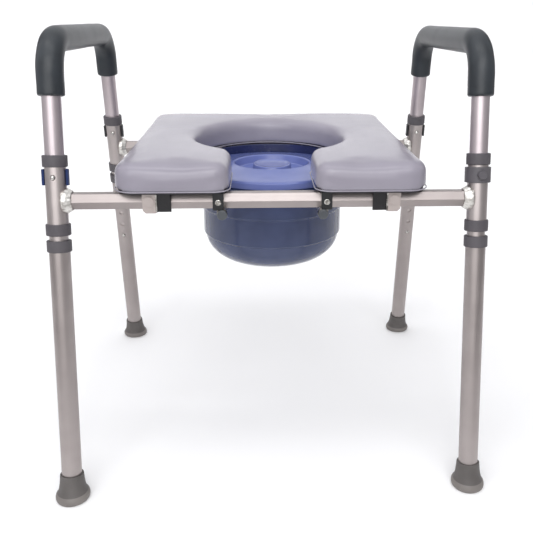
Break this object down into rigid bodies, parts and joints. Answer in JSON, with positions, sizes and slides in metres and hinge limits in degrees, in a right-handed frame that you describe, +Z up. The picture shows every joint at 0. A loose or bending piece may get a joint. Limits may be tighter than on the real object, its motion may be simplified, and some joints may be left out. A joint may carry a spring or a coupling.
{
  "type": "toilet safety frame",
  "caption": "Free-standing toilet safety frame with telescopic raked legs, looped padded arms, a hinged open-front padded seat and a lidded bucket on rails.",
  "frame": {"origin": "on the floor, midway between the four feet", "axes": "+Z up; -Y is the front, where the seat is open; +X to the right of someone facing the front"},
  "size_m": [0.6415, 0.601, 0.6632],
  "materials": {
    "tube": "satin anodised aluminium tube",
    "weld": "bright rippled aluminium weld",
    "collar": "fine-textured grey vinyl",
    "grip": "slate grey foam vinyl, fine grain",
    "foot_rubber": "grey moulded rubber",
    "steel": "bright plated steel",
    "clip_grey": "grey vinyl clip",
    "clip_blue": "blue vinyl clip",
    "clip_dark": "dark grey vinyl clip",
    "black_plastic": "black moulded plastic",
    "beige_plastic": "light grey-beige moulded plastic",
    "pad": "soft grey moulded foam skin",
    "board": "grey moulded base board",
    "bucket": "glossy slate blue polypropylene",
    "lid": "periwinkle blue polypropylene",
    "steel_tube": "plated steel tube",
    "grey_plastic": "grey moulded plastic"
  },
  "bodies": {
    "frame": {"post_front_left": "tube", "post_front_right": "tube", "post_rear_left": "tube", "post_rear_right": "tube", "crossbar_front": "tube", "crossbar_rear": "tube", "weld_beads": "weld", "post_top_collars": "collar", "post_bottom_collars": "collar", "leg_spigots": "tube", "arm_tube_left": "tube", "arm_tube_right": "tube", "arm_grip_left": "grip", "arm_grip_right": "grip", "bucket_rail_left": "steel_tube", "bucket_rail_right": "steel_tube", "rail_end_caps": "grey_plastic", "rail_clamps": "black_plastic", "rail_straps": "steel", "clamp_screws": "steel"},
    "leg_front_left": {"leg_tube_front_left": "tube", "leg_collar_front_left": "collar", "leg_washer_front_left": "steel", "foot_front_left": "foot_rubber"},
    "leg_button_front_left": {"leg_button_front_left": "steel"},
    "arm_button_front_left": {"arm_button_front_left": "steel"},
    "button_clip_front_left": {"button_clip_front_left": "clip_blue"},
    "leg_front_right": {"leg_tube_front_right": "tube", "leg_collar_front_right": "collar", "leg_washer_front_right": "steel", "foot_front_right": "foot_rubber"},
    "leg_button_front_right": {"leg_button_front_right": "steel"},
    "arm_button_front_right": {"arm_button_front_right": "steel"},
    "button_clip_front_right": {"button_clip_front_right": "clip_grey"},
    "leg_rear_left": {"leg_tube_rear_left": "tube", "leg_collar_rear_left": "collar", "leg_washer_rear_left": "steel", "foot_rear_left": "foot_rubber"},
    "leg_button_rear_left": {"leg_button_rear_left": "steel"},
    "arm_button_rear_left": {"arm_button_rear_left": "steel"},
    "button_clip_rear_left": {"button_clip_rear_left": "clip_dark"},
    "leg_rear_right": {"leg_tube_rear_right": "tube", "leg_collar_rear_right": "collar", "leg_washer_rear_right": "steel", "foot_rear_right": "foot_rubber"},
    "leg_button_rear_right": {"leg_button_rear_right": "steel"},
    "arm_button_rear_right": {"arm_button_rear_right": "steel"},
    "button_clip_rear_right": {"button_clip_rear_right": "clip_dark"},
    "seat": {"seat_pad": "pad", "seat_board": "board", "seat_hook_left": "beige_plastic", "seat_hook_right": "beige_plastic", "hook_strips": "steel", "bar_bumper_left": "black_plastic", "bar_bumper_right": "black_plastic", "hinge_clip_left": "black_plastic", "hinge_clip_right": "black_plastic", "seat_screws": "steel"},
    "bucket": {"bucket": "bucket"},
    "bucket_lid": {"bucket_lid": "lid"}
  },
  "joints": [
    {"name": "seat_hinge", "type": "hinge", "parent": "frame", "child": "seat", "pos_m": [0, 0.206, 0.434], "axis": [-1, 0, 0], "range_deg": [0, 95]},
    {"name": "bucket_lift", "type": "slide", "parent": "frame", "child": "bucket", "axis": [0, 0, 1], "range_m": [0, 0.002]},
    {"name": "lid_lift", "type": "slide", "parent": "bucket", "child": "bucket_lid", "axis": [0, 0, 1], "range_m": [0, 0.008]},
    {"name": "leg_slide_front_left", "type": "slide", "parent": "frame", "child": "leg_front_left", "axis": [-0.006, -0.159, -0.9873], "range_m": [0, 0.05]},
    {"name": "leg_button_press_front_left", "type": "slide", "parent": "leg_front_left", "child": "leg_button_front_left", "axis": [0, -0.9873, 0.159], "range_m": [0, 0.0038], "stiffness_N_per_m": 800, "springref_m": -0.002},
    {"name": "arm_button_press_front_left", "type": "slide", "parent": "frame", "child": "arm_button_front_left", "axis": [0, 0.9873, -0.159], "range_m": [0, 0.0038], "stiffness_N_per_m": 800, "springref_m": -0.002},
    {"name": "clip_pull_front_left", "type": "slide", "parent": "frame", "child": "button_clip_front_left", "axis": [0, 0.9873, -0.159], "range_m": [0, 0.03]},
    {"name": "leg_slide_front_right", "type": "slide", "parent": "frame", "child": "leg_front_right", "axis": [0.006, -0.159, -0.9873], "range_m": [0, 0.05]},
    {"name": "leg_button_press_front_right", "type": "slide", "parent": "leg_front_right", "child": "leg_button_front_right", "axis": [0, -0.9873, 0.159], "range_m": [0, 0.0038], "stiffness_N_per_m": 800, "springref_m": -0.002},
    {"name": "arm_button_press_front_right", "type": "slide", "parent": "frame", "child": "arm_button_front_right", "axis": [0, 0.9873, -0.159], "range_m": [0, 0.0038], "stiffness_N_per_m": 800, "springref_m": -0.002},
    {"name": "clip_pull_front_right", "type": "slide", "parent": "frame", "child": "button_clip_front_right", "axis": [0, -0.9873, 0.159], "range_m": [0, 0.03]},
    {"name": "leg_slide_rear_left", "type": "slide", "parent": "frame", "child": "leg_rear_left", "axis": [-0.006, 0.159, -0.9873], "range_m": [0, 0.05]},
    {"name": "leg_button_press_rear_left", "type": "slide", "parent": "leg_rear_left", "child": "leg_button_rear_left", "axis": [0, 0.9873, 0.159], "range_m": [0, 0.0038], "stiffness_N_per_m": 800, "springref_m": -0.002},
    {"name": "arm_button_press_rear_left", "type": "slide", "parent": "frame", "child": "arm_button_rear_left", "axis": [0, 0.9873, 0.159], "range_m": [0, 0.0038], "stiffness_N_per_m": 800, "springref_m": -0.002},
    {"name": "clip_pull_rear_left", "type": "slide", "parent": "frame", "child": "button_clip_rear_left", "axis": [0, 0.9873, 0.159], "range_m": [0, 0.03]},
    {"name": "leg_slide_rear_right", "type": "slide", "parent": "frame", "child": "leg_rear_right", "axis": [0.006, 0.159, -0.9873], "range_m": [0, 0.05]},
    {"name": "leg_button_press_rear_right", "type": "slide", "parent": "leg_rear_right", "child": "leg_button_rear_right", "axis": [0, 0.9873, 0.159], "range_m": [0, 0.0038], "stiffness_N_per_m": 800, "springref_m": -0.002},
    {"name": "arm_button_press_rear_right", "type": "slide", "parent": "frame", "child": "arm_button_rear_right", "axis": [0, 0.9873, 0.159], "range_m": [0, 0.0038], "stiffness_N_per_m": 800, "springref_m": -0.002},
    {"name": "clip_pull_rear_right", "type": "slide", "parent": "frame", "child": "button_clip_rear_right", "axis": [0, 0.9873, 0.159], "range_m": [0, 0.03]}
  ]
}
